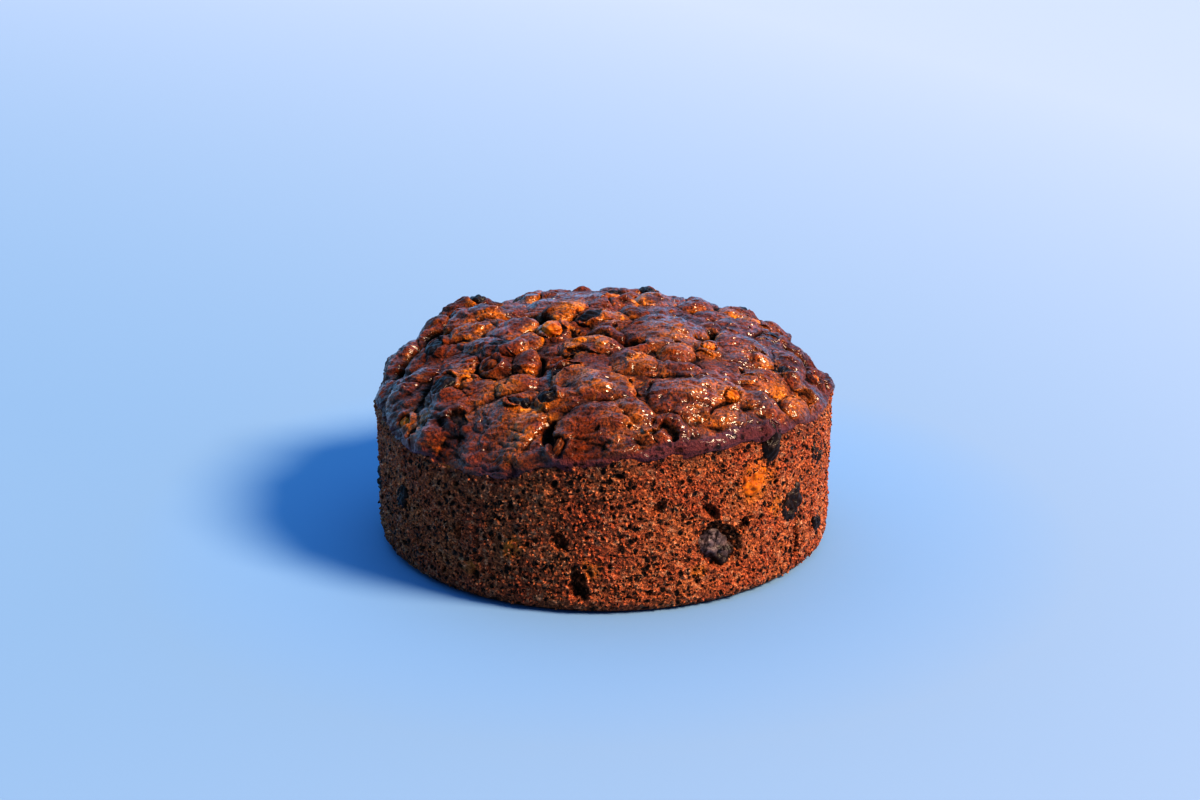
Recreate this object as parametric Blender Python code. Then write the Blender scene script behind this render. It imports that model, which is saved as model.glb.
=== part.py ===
"""A round dark fruit cake, baked in a plain tin and turned out whole.

One solid is the cake, with its crust risen in folds over the rim. The raisins, sultanas and candied
peel that show in its surface are solids of their own, each seated in a socket of the cake.

Metres, +Z up. The cake stands on z = 0 and its axis is the Z axis. A bearing is an angle round that
axis in degrees: 0 is the front, at -Y, and 90 is the right, at +X.
"""

import math
import random

import bmesh
import bpy
import numpy as np
from mathutils import Matrix, Vector
from mathutils.bvhtree import BVHTree

MM = 0.001

# The tin gives the cake its wall: 150 mm across, with a rounded lower edge.
CAKE_RADIUS = 75 * MM
BASE_EDGE_RADIUS = 5 * MM

# The crust rises from the rim to the crown. The power sets how full the dome is, and the shoulder
# power how sharply it turns down into the wall.
CROWN_HEIGHT = 69.5 * MM
DOME_POWER = 2.3
SHOULDER_POWER = 1.25

# Height of the rim round the cake: (bearing in degrees, height in mm). The batter sagged over the
# tin at the front left and stood highest at the back.
RIM_HEIGHTS = (
    (-90, 46.5),
    (-60, 44),
    (-28, 42),
    (-9, 50),
    (20, 52.5),
    (40, 53),
    (65, 49.5),
    (98, 47.5),
    (132, 52),
    (180, 54),
    (228, 54.5),
)

# Folds of the crust that stand out, as (x, y, length, width, turn in degrees, height), in mm.
MAIN_FOLDS = (
    (21, -8, 34, 30, 60, 4.5),
    (-3, -22, 22, 13, 0, 4.0),
    (11, -33, 20, 15, -20, 3.6),
    (-4, -46, 30, 21, -20, 4.6),
    (-1, -62, 28, 15, 0, 3.6),
    (29, -49, 34, 22, 25, 4.6),
    (-31, -56, 32, 28, 20, 5.0),
    (-32, -17, 24, 12, 8, 4.6),
    (-30, -2, 20, 15, 30, 4.0),
    (-43, 15, 32, 11, 8, 6.5),
    (-44, 4, 22, 16, 30, 4.0),
    (-13, 13, 24, 15, 65, 4.8),
    (2, 4, 15, 15, 0, 3.2),
    (46, -10, 24, 20, 80, 3.8),
    (52, -31, 20, 17, 20, 3.4),
    (-49, -42, 22, 15, -45, 3.8),
    (-63, -20, 20, 12, -75, 3.6),
    (-66, 12, 26, 9, 65, 4.2),
    (-50, 47, 18, 12, 40, 6.5),
    (46, 12, 26, 18, 60, 3.4),
)
# The other folds lie in a spiral, which spaces them evenly, and are then shifted at random.
FOLD_COUNT = 96
FOLD_LENGTH = (12 * MM, 20 * MM)
FOLD_WIDTH = (10 * MM, 14 * MM)
FOLD_HEIGHT = (1.6 * MM, 3.6 * MM)
FOLD_SHIFT = 3 * MM
FOLD_BLEND = 0.32 * MM
# Fruit just under the skin lifts it in smaller knobs.
KNOB_COUNT = 330
KNOB_SIZE = (5 * MM, 8.5 * MM)
KNOB_HEIGHT = (0.3 * MM, 1.5 * MM)
KNOB_SHIFT = 2 * MM
# The outlines of folds and knobs wander by this much, over this distance.
WANDER = 2.4 * MM
WANDER_SPACING = 15 * MM
# Folds run over the shoulder and die out this far below the rim.
FOLD_FADE = 5 * MM

# Tears where the risen crust split, as (x, y, x, y, bend, width, depth), in mm.
TEARS = (
    (-25, 19, -12, -4, -3, 2.2, 5.0),
    (-12, -4, 15, -20, -5, 2.6, 4.6),
    (36, 3, 31, -13, 2, 1.8, 3.6),
    (-20, -22, -22, -38, 2, 1.5, 3.2),
    (-71, -8, -48, 31, -1, 3.2, 7.0),
    (-47, 28, -29, 50, 2, 3.2, 6.0),
    (-13, -55, -12, -71, -3, 2.4, 3.4),
    (14, -62, 22, -68, 1, 1.6, 2.6),
    (2, 40, 30, 46, 4, 2.2, 4.0),
    (-40, 34, -14, 44, -5, 2.4, 4.2),
)

# The wall is nearly true to the tin, with shallow dents.
WALL_DENT = 0.45 * MM
WALL_DENT_SPACING = 22 * MM
# Holes in the wall, as (bearing, height, length, width, turn in degrees, depth), sizes in mm.
WALL_HOLES = (
    (28.8, 20, 18, 13.5, -50, 4.4),
    (26.5, 31.5, 8, 3.4, -62, 2.8),
    (35.5, 24.5, 7, 3, 55, 2.2),
    (-6, 10.5, 12, 5.5, -78, 4.6),
    (-10.5, 24.5, 6, 4.5, -30, 3.0),
    (55.6, 12, 21, 2.6, -84, 3.0),
    (13, 35, 5, 3, 40, 1.8),
    (-37, 22, 7, 3, 75, 1.8),
    (118, 18, 9, 5, 60, 3.2),
    (163, 33, 7, 5, -30, 3.0),
    (212, 15, 12, 6, -70, 3.8),
    (251, 30, 8, 4, 40, 2.6),
)

# Fruit that shows in the crust: (kind, x, y, length, width, turn in degrees, share sunk), in mm.
CRUST_FRUIT = (
    ("peel", -16.5, -7.5, 13, 8.5, 100, 0.35),
    ("peel", 33.5, -18, 6.5, 6, 10, 0.40),
    ("peel", 39.5, -49, 7, 6, 80, 0.35),
    ("peel", 50.5, 23, 8, 6, 60, 0.40),
    ("peel", 3, 27, 10, 7, 10, 0.40),
    ("raisin", 56, 14, 13, 7, 100, 0.50),
    ("raisin", 59, -21.5, 7, 5, -60, 0.55),
    ("raisin", 42.5, -28.5, 8, 6, 10, 0.58),
    ("raisin", -16.5, -51, 8.5, 7.5, 70, 0.55),
    ("raisin", -11, -37, 11, 5.5, 20, 0.60),
    ("raisin", -31.5, -17.5, 13, 7, -15, 0.60),
    ("raisin", -7.5, -25, 10, 5.5, -15, 0.58),
    ("raisin", -4, 2, 11, 6.5, 10, 0.55),
    ("raisin", -50.5, -31, 13, 7.5, 75, 0.52),
    ("raisin", -26.5, -49, 8.5, 5, -25, 0.60),
    ("raisin", -45, -46, 12, 7, -55, 0.58),
    ("raisin", -58.5, -41, 8, 6, -50, 0.58),
    ("raisin", 15, -66.5, 7, 5, 0, 0.60),
    ("raisin", -55, 0, 12, 8, 75, 0.52),
    ("sultana", -35.5, -27.5, 7, 6, 0, 0.45),
    ("peel", -43, -30.5, 7, 5.5, -20, 0.42),
    ("peel", 69, -7, 7, 5, 80, 0.50),
    ("sultana", 63, -30, 7, 6, 40, 0.45),
    ("peel", -62.5, -34, 6.5, 5, -60, 0.45),
    ("sultana", -13.5, -69.5, 9, 6, 85, 0.50),
)
# Fruit that shows in the wall: (kind, bearing, height, length, width, turn in degrees, share sunk).
WALL_FRUIT = (
    ("raisin", 44, 49, 13, 7.5, 82, 0.80),
    ("peel", 38.5, 39, 12, 9.5, 60, 0.84),
    ("raisin", 66, 38.5, 14, 9.5, 85, 0.84),
    ("raisin", 53, 25.5, 13.5, 9.5, 60, 0.84),
    ("raisin", 67.5, 12.5, 8, 6, -50, 0.84),
    ("raisin", 28.5, 18.5, 17, 12, -50, 0.96),
    ("raisin", -60, 25.5, 9, 6.5, 70, 0.86),
)
# The back has fruit by the same hand: this many pieces in the crust and in the wall.
BACK_CRUST_FRUIT = 7
BACK_WALL_FRUIT = 4
# A dried fruit is this much thinner than it is wide.
FRUIT_THICKNESS = {"raisin": 0.72, "sultana": 0.85, "peel": 0.80}
SOCKET_GAP = 0.4 * MM
# A raisin that sits low in the crust has a hollow round it, this deep, out to 1.5 times its size.
HOLLOW_DEPTH = 2.2 * MM
HOLLOW_REACH = 1.5
HOLLOW_SUNK = 0.57

# Mesh sizes: the turned body is fine enough for the folds, and then reduced to flat facets.
TURN_STEPS = 300
DOME_RINGS = 74
WALL_RINGS = 26
EDGE_RINGS = 3
FACET_SHARE = 0.078
SEED = 4

COLOURS = {
    "cake": (0.105, 0.030, 0.012),
    "raisin": (0.012, 0.008, 0.008),
    "sultana": (0.220, 0.070, 0.012),
    "peel": (0.500, 0.150, 0.012),
}
ROUGHNESS = {"cake": 0.55, "raisin": 0.35, "sultana": 0.30, "peel": 0.28}


def smooth(t):
    """An S-shaped step from 0 to 1."""
    t = np.clip(t, 0.0, 1.0)
    return t * t * (3.0 - 2.0 * t)


def hashed(i, j, k, salt):
    """A repeatable number from 0 to 1 for each lattice point."""
    n = (i * 73856093) ^ (j * 19349663) ^ (k * 83492791) ^ (salt * 2654435761)
    n = (n ^ (n >> 13)) * 1274126177 & 0x7FFFFFFF
    return ((n ^ (n >> 16)) & 0xFFFFF) / float(0xFFFFF)


def noise_at(points, spacing, salt):
    """Smooth noise from -1 to 1 at points, an (n, 3) array, with lumps of about this spacing."""
    scaled = points / spacing
    cell = np.floor(scaled).astype(np.int64)
    part = smooth(scaled - cell)
    total = np.zeros(len(points))
    for corner in range(8):
        step = np.array([corner & 1, corner >> 1 & 1, corner >> 2 & 1])
        weight = np.prod(np.where(step == 1, part, 1.0 - part), axis=1)
        total += weight * hashed(*(cell + step).T, salt)
    return 2.0 * total - 1.0


def rim_height(bearing):
    """Height of the rim at a bearing in radians, smooth between the named heights."""
    marks = np.array([*RIM_HEIGHTS, (RIM_HEIGHTS[0][0] + 360, RIM_HEIGHTS[0][1])], float)
    turn = (np.degrees(bearing) - marks[0, 0]) % 360.0 + marks[0, 0]
    low = np.clip(np.searchsorted(marks[:, 0], turn, side="right") - 1, 0, len(marks) - 2)
    part = smooth((turn - marks[low, 0]) / (marks[low + 1, 0] - marks[low, 0]))
    return (marks[low, 1] + (marks[low + 1, 1] - marks[low, 1]) * part) * MM


def spiral(count, shift, rng):
    """Evenly spaced places over the crust, each moved at random by up to shift."""
    golden = math.pi * (3.0 - math.sqrt(5.0))
    for i in range(count):
        reach = CAKE_RADIUS * math.sqrt((i + 0.5) / count)
        yield (
            reach * math.cos(i * golden) + rng.uniform(-shift, shift),
            reach * math.sin(i * golden) + rng.uniform(-shift, shift),
        )


def crust_folds():
    """Every fold as a row (x, y, half length, half width, turn, height), named ones first."""
    rng = random.Random(SEED)
    folds = [
        (x * MM, y * MM, a * MM / 2, b * MM / 2, math.radians(turn), h * MM)
        for x, y, a, b, turn, h in MAIN_FOLDS
    ]
    named = list(folds)
    for x, y in spiral(FOLD_COUNT, FOLD_SHIFT, rng):
        half_length = rng.uniform(*FOLD_LENGTH) / 2
        half_width = rng.uniform(*FOLD_WIDTH) / 2
        turn = rng.uniform(0.0, math.pi)
        height = rng.uniform(*FOLD_HEIGHT)
        covered = any(math.hypot(x - f[0], y - f[1]) < 0.75 * f[3] for f in named)
        if not covered:
            folds.append((x, y, half_length, half_width, turn, height))
    return np.array(folds)


def crust_knobs():
    """The small knobs, as rows like those of the folds."""
    rng = random.Random(SEED + 1)
    rows = []
    for x, y in spiral(KNOB_COUNT, KNOB_SHIFT, rng):
        size = rng.uniform(*KNOB_SIZE) / 2
        width = size * rng.uniform(0.65, 1.0)
        turn = rng.uniform(0.0, math.pi)
        rows.append((x, y, size, width, turn, rng.uniform(*KNOB_HEIGHT)))
    return np.array(rows)


def oval_distance(x, y, row):
    """Distance from a row's centre, counted in its own half length and half width."""
    across, along = x - row[0], y - row[1]
    c, s = math.cos(row[4]), math.sin(row[4])
    return np.hypot((across * c + along * s) / row[2], (along * c - across * s) / row[3])


def blended_highest(x, y, rows):
    """The highest of the rows' rounded tops at each place, with soft valleys between them."""
    total = np.ones_like(x)
    for row in rows:
        top = row[5] * np.clip(1.0 - oval_distance(x, y, row) ** 2, 0.0, 1.0) ** 0.8
        total += np.expm1(top / FOLD_BLEND)
    return FOLD_BLEND * np.log(total)


def tear_depth(x, y):
    """How far the tears cut into the crust: a bent line, deepest along its middle."""
    depth = np.zeros_like(x)
    for row in TEARS:
        x0, y0, x1, y1, bend, width, deep = (value * MM for value in row)
        length = math.hypot(x1 - x0, y1 - y0)
        ux, uy = (x1 - x0) / length, (y1 - y0) / length
        along = ((x - x0) * ux + (y - y0) * uy) / length
        bowed = bend * 4.0 * along * (1.0 - along)
        across = (y - y0) * ux - (x - x0) * uy - bowed
        ends = smooth(along / 0.2) * smooth((1.0 - along) / 0.2)
        depth = np.maximum(depth, deep * ends * np.exp(-((across / width) ** 2)))
    return depth


def hollow_depth(x, y):
    """The hollows in which the low-lying raisins of the crust sit."""
    depth = np.zeros_like(x)
    for kind, fx, fy, length, width, turn, sunk in CRUST_FRUIT:
        if sunk > HOLLOW_SUNK:
            row = (fx * MM, fy * MM, length * MM / 2, width * MM / 2, math.radians(turn))
            reach = oval_distance(x, y, row) / HOLLOW_REACH
            depth = np.maximum(depth, HOLLOW_DEPTH * np.clip(1.0 - reach**2, 0.0, 1.0))
    return depth


def wandered(x, y):
    """Places shifted a little, so that the outlines of folds and tears wander."""
    flat = np.stack([x, y, np.zeros_like(x)], 1)
    for values, salt in ((x, 11), (y, 13)):
        broad = noise_at(flat, WANDER_SPACING, salt)
        yield values + WANDER * (broad + 0.3 * noise_at(flat, WANDER_SPACING / 3, salt + 1))


def crust_relief(x, y):
    """What folds, knobs, tears and hollows add to the smooth dome."""
    wx, wy = wandered(x, y)
    raised = blended_highest(wx, wy, crust_folds()) + blended_highest(wx, wy, crust_knobs())
    return raised - tear_depth(wx, wy) - hollow_depth(x, y)


def wall_relief(bearing, height):
    """How far the wall stands in or out from the tin's radius."""
    points = np.stack([np.sin(bearing) * CAKE_RADIUS, np.cos(bearing) * CAKE_RADIUS, height], 1)
    relief = WALL_DENT * noise_at(points, WALL_DENT_SPACING, 21)
    for at, z, length, width, turn, deep in WALL_HOLES:
        offset = (np.degrees(bearing) - at + 180.0) % 360.0 - 180.0
        row = (0.0, z * MM, length * MM / 2, width * MM / 2, math.radians(turn))
        reach = oval_distance(np.radians(offset) * CAKE_RADIUS, height, row)
        hole = deep * MM * np.clip(1.0 - reach**2, 0.0, 1.0) ** 0.7
        relief = np.where(np.abs(offset) < 30.0, relief - hole, relief)
    return relief


def dome_profile():
    """The dome's profile from the rim to the crown, as (share of the radius, share of the rise)."""
    for i in range(DOME_RINGS + 1):
        share = math.cos(math.pi / 2 * i / DOME_RINGS)
        yield share, (1.0 - share**DOME_POWER) ** (1.0 / SHOULDER_POWER)


def body_profile():
    """Half of the cake's section as (radius, height), with a rim of height 1 and a crown of height 2."""
    points = [Vector((0.0, 0.0, 0.0)), Vector((CAKE_RADIUS * 0.5, 0.0, 0.0))]
    for i in range(EDGE_RINGS + 1):
        angle = math.pi / 2 * i / EDGE_RINGS
        reach = CAKE_RADIUS - BASE_EDGE_RADIUS * (1.0 - math.sin(angle))
        points.append(Vector((reach, 0.0, BASE_EDGE_RADIUS * (1.0 - math.cos(angle)))))
    foot = BASE_EDGE_RADIUS
    for i in range(1, WALL_RINGS):
        points.append(Vector((CAKE_RADIUS, 0.0, foot + (1.0 - foot) * i / WALL_RINGS)))
    for share, rise in dome_profile():
        points.append(Vector((CAKE_RADIUS * share, 0.0, 1.0 + rise)))
    return points


def shape_body(points):
    """Moves the points of the plain turned body to the real cake's surface."""
    reach = np.hypot(points[:, 0], points[:, 1])
    bearing = np.arctan2(points[:, 0], -points[:, 1])
    rim = rim_height(bearing)
    foot = BASE_EDGE_RADIUS
    level = points[:, 2]
    on_wall = np.where(level <= foot, level, foot + (rim - foot) * (level - foot) / (1.0 - foot))
    height = np.where(level > 1.0, rim + (CROWN_HEIGHT - rim) * (level - 1.0), on_wall)
    x = reach * np.sin(bearing)
    y = -reach * np.cos(bearing)
    share = np.clip(reach / CAKE_RADIUS, 0.0, 1.0)
    crust = smooth((height - rim + FOLD_FADE) / FOLD_FADE) * (1.0 - 0.55 * share**8)
    lift = crust_relief(x, y) * np.where(level > foot, crust, 0.0)
    lean = 0.8 * share**5
    out = lift * lean / np.hypot(1.0, lean)
    wall = smooth((level - foot * 0.5) / (foot * 0.5)) * smooth((share - 0.97) / 0.03)
    out += wall * wall_relief(bearing, height) * smooth((rim - height) / FOLD_FADE + 0.4)
    height = height + lift / np.hypot(1.0, lean)
    reach = reach + out
    return np.stack([reach * np.sin(bearing), -reach * np.cos(bearing), height], 1)


def material(kind):
    """A plain finish for one kind of piece."""
    made = bpy.data.materials.new(kind)
    made.use_nodes = True
    surface = made.node_tree.nodes["Principled BSDF"]
    surface.inputs["Base Color"].default_value = (*COLOURS[kind], 1.0)
    surface.inputs["Roughness"].default_value = ROUGHNESS[kind]
    return made


def add_object(name, mesh, finish):
    """Links a mesh to the scene as a named object with its finish."""
    made = bpy.data.objects.new(name, mesh)
    mesh.materials.append(finish)
    bpy.context.scene.collection.objects.link(made)
    return made


def cake_body(finish):
    """The cake itself: a section turned round the axis, folded, torn and dented, then faceted."""
    bm = bmesh.new()
    outline = [bm.verts.new(point) for point in body_profile()]
    for low, high in zip(outline, outline[1:]):
        bm.edges.new((low, high))
    bmesh.ops.spin(
        bm, geom=bm.verts[:] + bm.edges[:], cent=(0, 0, 0), axis=(0, 0, 1), dvec=(0, 0, 0),
        angle=math.tau, steps=TURN_STEPS, use_merge=True, use_duplicate=False,
    )
    bmesh.ops.remove_doubles(bm, verts=bm.verts, dist=1e-6)
    bmesh.ops.recalc_face_normals(bm, faces=bm.faces)
    mesh = bpy.data.meshes.new("cake")
    bm.to_mesh(mesh)
    bm.free()
    points = np.empty(len(mesh.vertices) * 3)
    mesh.vertices.foreach_get("co", points)
    mesh.vertices.foreach_set("co", shape_body(points.reshape(-1, 3)).ravel())
    mesh.update()
    cake = add_object("cake", mesh, finish)
    facets = cake.modifiers.new("facets", "DECIMATE")
    facets.ratio = FACET_SHARE
    return cake


def surface_tree():
    """The cake's evaluated surface, to seat the fruit on."""
    graph = bpy.context.evaluated_depsgraph_get()
    return BVHTree.FromObject(bpy.data.objects["cake"], graph)


def on_crust(tree, x, y):
    """The place on the crust above (x, y), and the smooth dome's direction there."""
    place = tree.ray_cast(Vector((x, y, 1.0)), Vector((0, 0, -1)))[0]
    lean = 0.55 * (math.hypot(x, y) / CAKE_RADIUS) ** 2
    return place, Vector((x / CAKE_RADIUS * lean * 1.6, y / CAKE_RADIUS * lean * 1.6, 1.0)).normalized()


def on_wall(tree, bearing, height):
    """The place on the wall at a bearing in degrees, level with the tin, and its direction."""
    angle = math.radians(bearing)
    outward = Vector((math.sin(angle), -math.cos(angle), 0.0))
    return outward * CAKE_RADIUS + Vector((0.0, 0.0, height)), outward


def back_fruit(rng):
    """Pieces by rule for the half that faces away, spaced apart, as rows like the named ones."""
    crust, wall = [], []
    while len(crust) < BACK_CRUST_FRUIT:
        reach, bearing = rng.uniform(38, 68), math.radians(rng.uniform(100, 260))
        x, y = reach * math.sin(bearing), -reach * math.cos(bearing)
        taken = [(row[1], row[2]) for row in (*CRUST_FRUIT, *crust)]
        if y > 44 and all(math.hypot(x - a, y - b) > 17 for a, b in taken):
            kind = "peel" if len(crust) % 4 == 1 else "raisin"
            size = rng.uniform(7.5, 12)
            crust.append((kind, x, y, size, size * 0.68, rng.uniform(0, 180), rng.uniform(0.66, 0.74)))
    while len(wall) < BACK_WALL_FRUIT:
        bearing, height = rng.uniform(95, 280), rng.uniform(10, 42)
        taken = [(row[0], row[1]) for row in WALL_HOLES] + [(row[1], row[2]) for row in (*WALL_FRUIT, *wall)]
        gaps = [math.hypot(((bearing - a + 180) % 360 - 180) * 1.3, height - b) for a, b in taken]
        if min(gaps) > 16:
            size = rng.uniform(8, 12)
            wall.append(("raisin", bearing, height, size, size * 0.72, rng.uniform(0, 180), 0.86))
    return crust, wall


def fruit_mesh(name, kind, length, width, rng, grow=0.0):
    """One dried fruit about the origin, lying along X: a ball pressed into folds, or a cut cube of peel."""
    bm = bmesh.new()
    bmesh.ops.create_icosphere(bm, subdivisions=2, radius=1.0)
    half = Vector((length / 2, width / 2, width * FRUIT_THICKNESS[kind] / 2))
    phase = rng.uniform(0, math.tau)
    for vert in bm.verts:
        ball = vert.co.normalized()
        if kind == "peel":
            push = 1.0 / max(abs(ball.x), abs(ball.y), abs(ball.z)) ** 0.55
            push *= 0.86
        else:
            wrinkles = 0.10 if kind == "raisin" else 0.04
            wave = math.sin(5.0 * math.atan2(ball.z, ball.y) + phase + 2.0 * ball.x)
            push = 1.0 - wrinkles * (0.5 + 0.5 * wave)
        vert.co = Vector(ball[i] * push * half[i] for i in range(3))
    bm.normal_update()
    if grow:
        for vert in bm.verts:
            vert.co += vert.normal * grow
    mesh = bpy.data.meshes.new(name)
    bm.to_mesh(mesh)
    bm.free()
    return mesh


def seat_fruit(rows, place_of, finishes, counts, rng):
    """Adds each row's fruit, sunk into the surface, and yields a slightly larger copy as its cutter."""
    for kind, a, b, length, width, turn, sunk in rows:
        place, outward = place_of(a, b)
        thick = width * FRUIT_THICKNESS[kind] * MM
        centre = place - outward * thick * (sunk - 0.5)
        across = Vector((0, 0, 1)).cross(outward)
        across = across.normalized() if across.length > 0.8 else Vector((1, 0, 0))
        across = (across - outward * across.dot(outward)).normalized()
        frame = Matrix((across, outward.cross(across), outward)).transposed().to_4x4()
        frame = Matrix.Translation(centre) @ frame @ Matrix.Rotation(math.radians(turn), 4, "Z")
        counts[kind] = counts.get(kind, 0) + 1
        name = f"{kind}_{counts[kind]:02d}"
        state = rng.getstate()
        mesh = fruit_mesh(name, kind, length * MM, width * MM, rng)
        rng.setstate(state)
        socket = fruit_mesh(name + "_socket", kind, length * MM, width * MM, rng, SOCKET_GAP)
        fruit = add_object(name, mesh, finishes[kind])
        fruit.matrix_world = frame
        socket.transform(frame)
        yield socket


def cut_sockets(cake, sockets):
    """Cuts every socket from the cake with one Boolean."""
    bm = bmesh.new()
    for socket in sockets:
        bm.from_mesh(socket)
        bpy.data.meshes.remove(socket)
    mesh = bpy.data.meshes.new("sockets")
    bm.to_mesh(mesh)
    bm.free()
    cutter = bpy.data.objects.new("sockets", mesh)
    bpy.context.scene.collection.objects.link(cutter)
    cutter.hide_render = True
    cutter.display_type = "WIRE"
    cut = cake.modifiers.new("sockets", "BOOLEAN")
    cut.operation = "DIFFERENCE"
    cut.object = cutter


def main():
    for obj in list(bpy.data.objects):
        bpy.data.objects.remove(obj)
    finishes = {kind: material(kind) for kind in COLOURS}
    cake = cake_body(finishes["cake"])
    bpy.context.view_layer.update()
    tree = surface_tree()
    rng = random.Random(SEED + 2)
    back_crust, back_wall = back_fruit(rng)
    counts = {}
    in_crust = seat_fruit(
        (*CRUST_FRUIT, *back_crust), lambda x, y: on_crust(tree, x * MM, y * MM), finishes, counts, rng
    )
    in_wall = seat_fruit(
        (*WALL_FRUIT, *back_wall), lambda at, z: on_wall(tree, at, z * MM), finishes, counts, rng
    )
    cut_sockets(cake, [*in_crust, *in_wall])


main()
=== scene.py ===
"""The looks of a round dark fruit cake: its porous wall, its glazed and folded crust and its fruit.

Metres, +Z up. The cake stands on z = 0 and its axis is the Z axis. A bearing is an angle round that
axis: 0 is the front, at -Y, and 90 degrees is the right, at +X.
"""

import math
import random

import bmesh
import bpy
import numpy as np
from mathutils import Matrix, Vector
from mathutils.bvhtree import BVHTree


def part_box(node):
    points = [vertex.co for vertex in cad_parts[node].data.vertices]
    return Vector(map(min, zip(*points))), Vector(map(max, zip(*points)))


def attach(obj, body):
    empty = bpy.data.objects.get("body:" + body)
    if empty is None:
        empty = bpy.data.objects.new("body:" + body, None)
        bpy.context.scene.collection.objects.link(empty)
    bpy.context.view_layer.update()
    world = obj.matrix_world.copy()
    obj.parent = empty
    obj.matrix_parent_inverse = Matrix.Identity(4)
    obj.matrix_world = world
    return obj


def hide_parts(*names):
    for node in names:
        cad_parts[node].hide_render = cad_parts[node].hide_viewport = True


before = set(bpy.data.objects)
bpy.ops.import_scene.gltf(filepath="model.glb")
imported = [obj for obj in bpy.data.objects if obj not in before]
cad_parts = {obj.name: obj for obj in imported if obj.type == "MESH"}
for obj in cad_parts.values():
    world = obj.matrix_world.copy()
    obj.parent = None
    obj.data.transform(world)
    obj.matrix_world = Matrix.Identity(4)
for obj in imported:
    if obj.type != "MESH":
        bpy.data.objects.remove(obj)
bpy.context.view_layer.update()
scene = bpy.context.scene

# Camera, light and table
# The cake stands on a wide pale blue table top. A warm lamp lights it from the right and a little
# from the front, and the pale blue room fills the shadows.
LENS = 70
SENSOR = 36
CAMERA_PLACE = (0.0, -0.7295, 0.3040)
CAMERA_DIP = 19.61
CAMERA_TURN = 0.10
LAMP_FROM = Vector((0.67, -0.28, 0.63))
LAMP_POWER = 4.5
LAMP_COLOUR = (1.0, 0.80, 0.56)
LAMP_WIDTH = 20
ROOM_FRONT = (0.055, 0.18, 0.36, 1.0)
ROOM_BACK = (0.32, 0.76, 1.28, 1.0)
ROOM_BLEND = (-0.55, 0.75)
# The table's blue near the cake and far away. The far one is paler, as painted light.
TABLE_NEAR_PAINTED_DIM = (0.262, 0.363, 0.495, 1.0)
TABLE_FAR_PAINTED_LIT = (0.465, 0.485, 0.57, 1.0)
# A bluer colour painted round the cake's foot, as painted shade.
TABLE_PAINTED_COOL_SHADE = (0.235, 0.380, 0.60, 1.0)
# Painted light: the table top goes from its near colour to its paler far colour with the distance
# and towards the lamp at the right, per metre.
PAINTED_LIGHT_AWAY = 0.9
PAINTED_LIGHT_RIGHT = 1.1
PAINTED_LIGHT_START = 0.02
# Distances from the cake's axis over which the painted shade round the cake's foot fades in: a bluer
# colour that cancels the warm light the cake throws on the table.
PAINTED_COOL_SHADE_REACH = (0.16, 0.07)
TABLE_HALF = 4.0


def add_node(tree, kind, inputs=(), **settings):
    """A shader node with its settings, and its inputs given as values or as sockets to link."""
    made = tree.nodes.new(kind)
    for name, value in settings.items():
        setattr(made, name, value)
    for name, value in dict(inputs).items():
        if isinstance(value, bpy.types.NodeSocket):
            tree.links.new(value, made.inputs[name])
        else:
            made.inputs[name].default_value = value
    return made


def mixed(tree, share, first, second, **settings):
    """The socket of a colour between two others."""
    return add_node(
        tree, "ShaderNodeMix", {0: share, 6: first, 7: second}, data_type="RGBA", **settings
    ).outputs[2]


def ranged(tree, value, low, high, to_low=0.0, to_high=1.0):
    """The socket of a value stretched from one range to another, and held within it."""
    return add_node(
        tree, "ShaderNodeMapRange",
        {"Value": value, "From Min": low, "From Max": high, "To Min": to_low, "To Max": to_high},
    ).outputs[0]


def worked_out(tree, operation, *values, **settings):
    """The socket of a sum, product or the like of values and sockets."""
    return add_node(tree, "ShaderNodeMath", enumerate(values), operation=operation, **settings).outputs[0]


def new_material(name):
    """A named material with its node tree and its Principled shader."""
    made = bpy.data.materials.new(name)
    made.use_nodes = True
    return made, made.node_tree, made.node_tree.nodes["Principled BSDF"]


def link_mesh(name, bm, finish):
    """Puts a finished bmesh into the scene as a smooth object with its material."""
    mesh = bpy.data.meshes.new(name)
    bm.to_mesh(mesh)
    bm.free()
    mesh.polygons.foreach_set("use_smooth", np.ones(len(mesh.polygons), bool))
    mesh.materials.append(finish)
    made = bpy.data.objects.new(name, mesh)
    scene.collection.objects.link(made)
    return made


lens = bpy.data.cameras.new("camera")
lens.lens = LENS
lens.sensor_width = SENSOR
camera = bpy.data.objects.new("camera", lens)
camera.location = CAMERA_PLACE
camera.rotation_euler = (math.radians(90 - CAMERA_DIP), 0.0, math.radians(CAMERA_TURN))
scene.collection.objects.link(camera)
scene.camera = camera
scene.view_settings.view_transform = "Standard"
scene.view_settings.look = "High Contrast"

lamp = bpy.data.lights.new("lamp", "SUN")
lamp.energy = LAMP_POWER
lamp.color = LAMP_COLOUR
lamp.angle = math.radians(LAMP_WIDTH)
lamp_holder = bpy.data.objects.new("lamp", lamp)
lamp_holder.rotation_euler = LAMP_FROM.to_track_quat("Z", "Y").to_euler()
scene.collection.objects.link(lamp_holder)

room = bpy.data.worlds.new("room")
room.use_nodes = True
scene.world = room
ways = add_node(room.node_tree, "ShaderNodeTexCoord").outputs["Generated"]
backward = add_node(room.node_tree, "ShaderNodeSeparateXYZ", {0: ways}).outputs["Y"]
blend = ranged(room.node_tree, backward, *ROOM_BLEND)
room_light = mixed(room.node_tree, blend, ROOM_FRONT, ROOM_BACK)
room.node_tree.links.new(room_light, room.node_tree.nodes["Background"].inputs["Color"])

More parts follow.
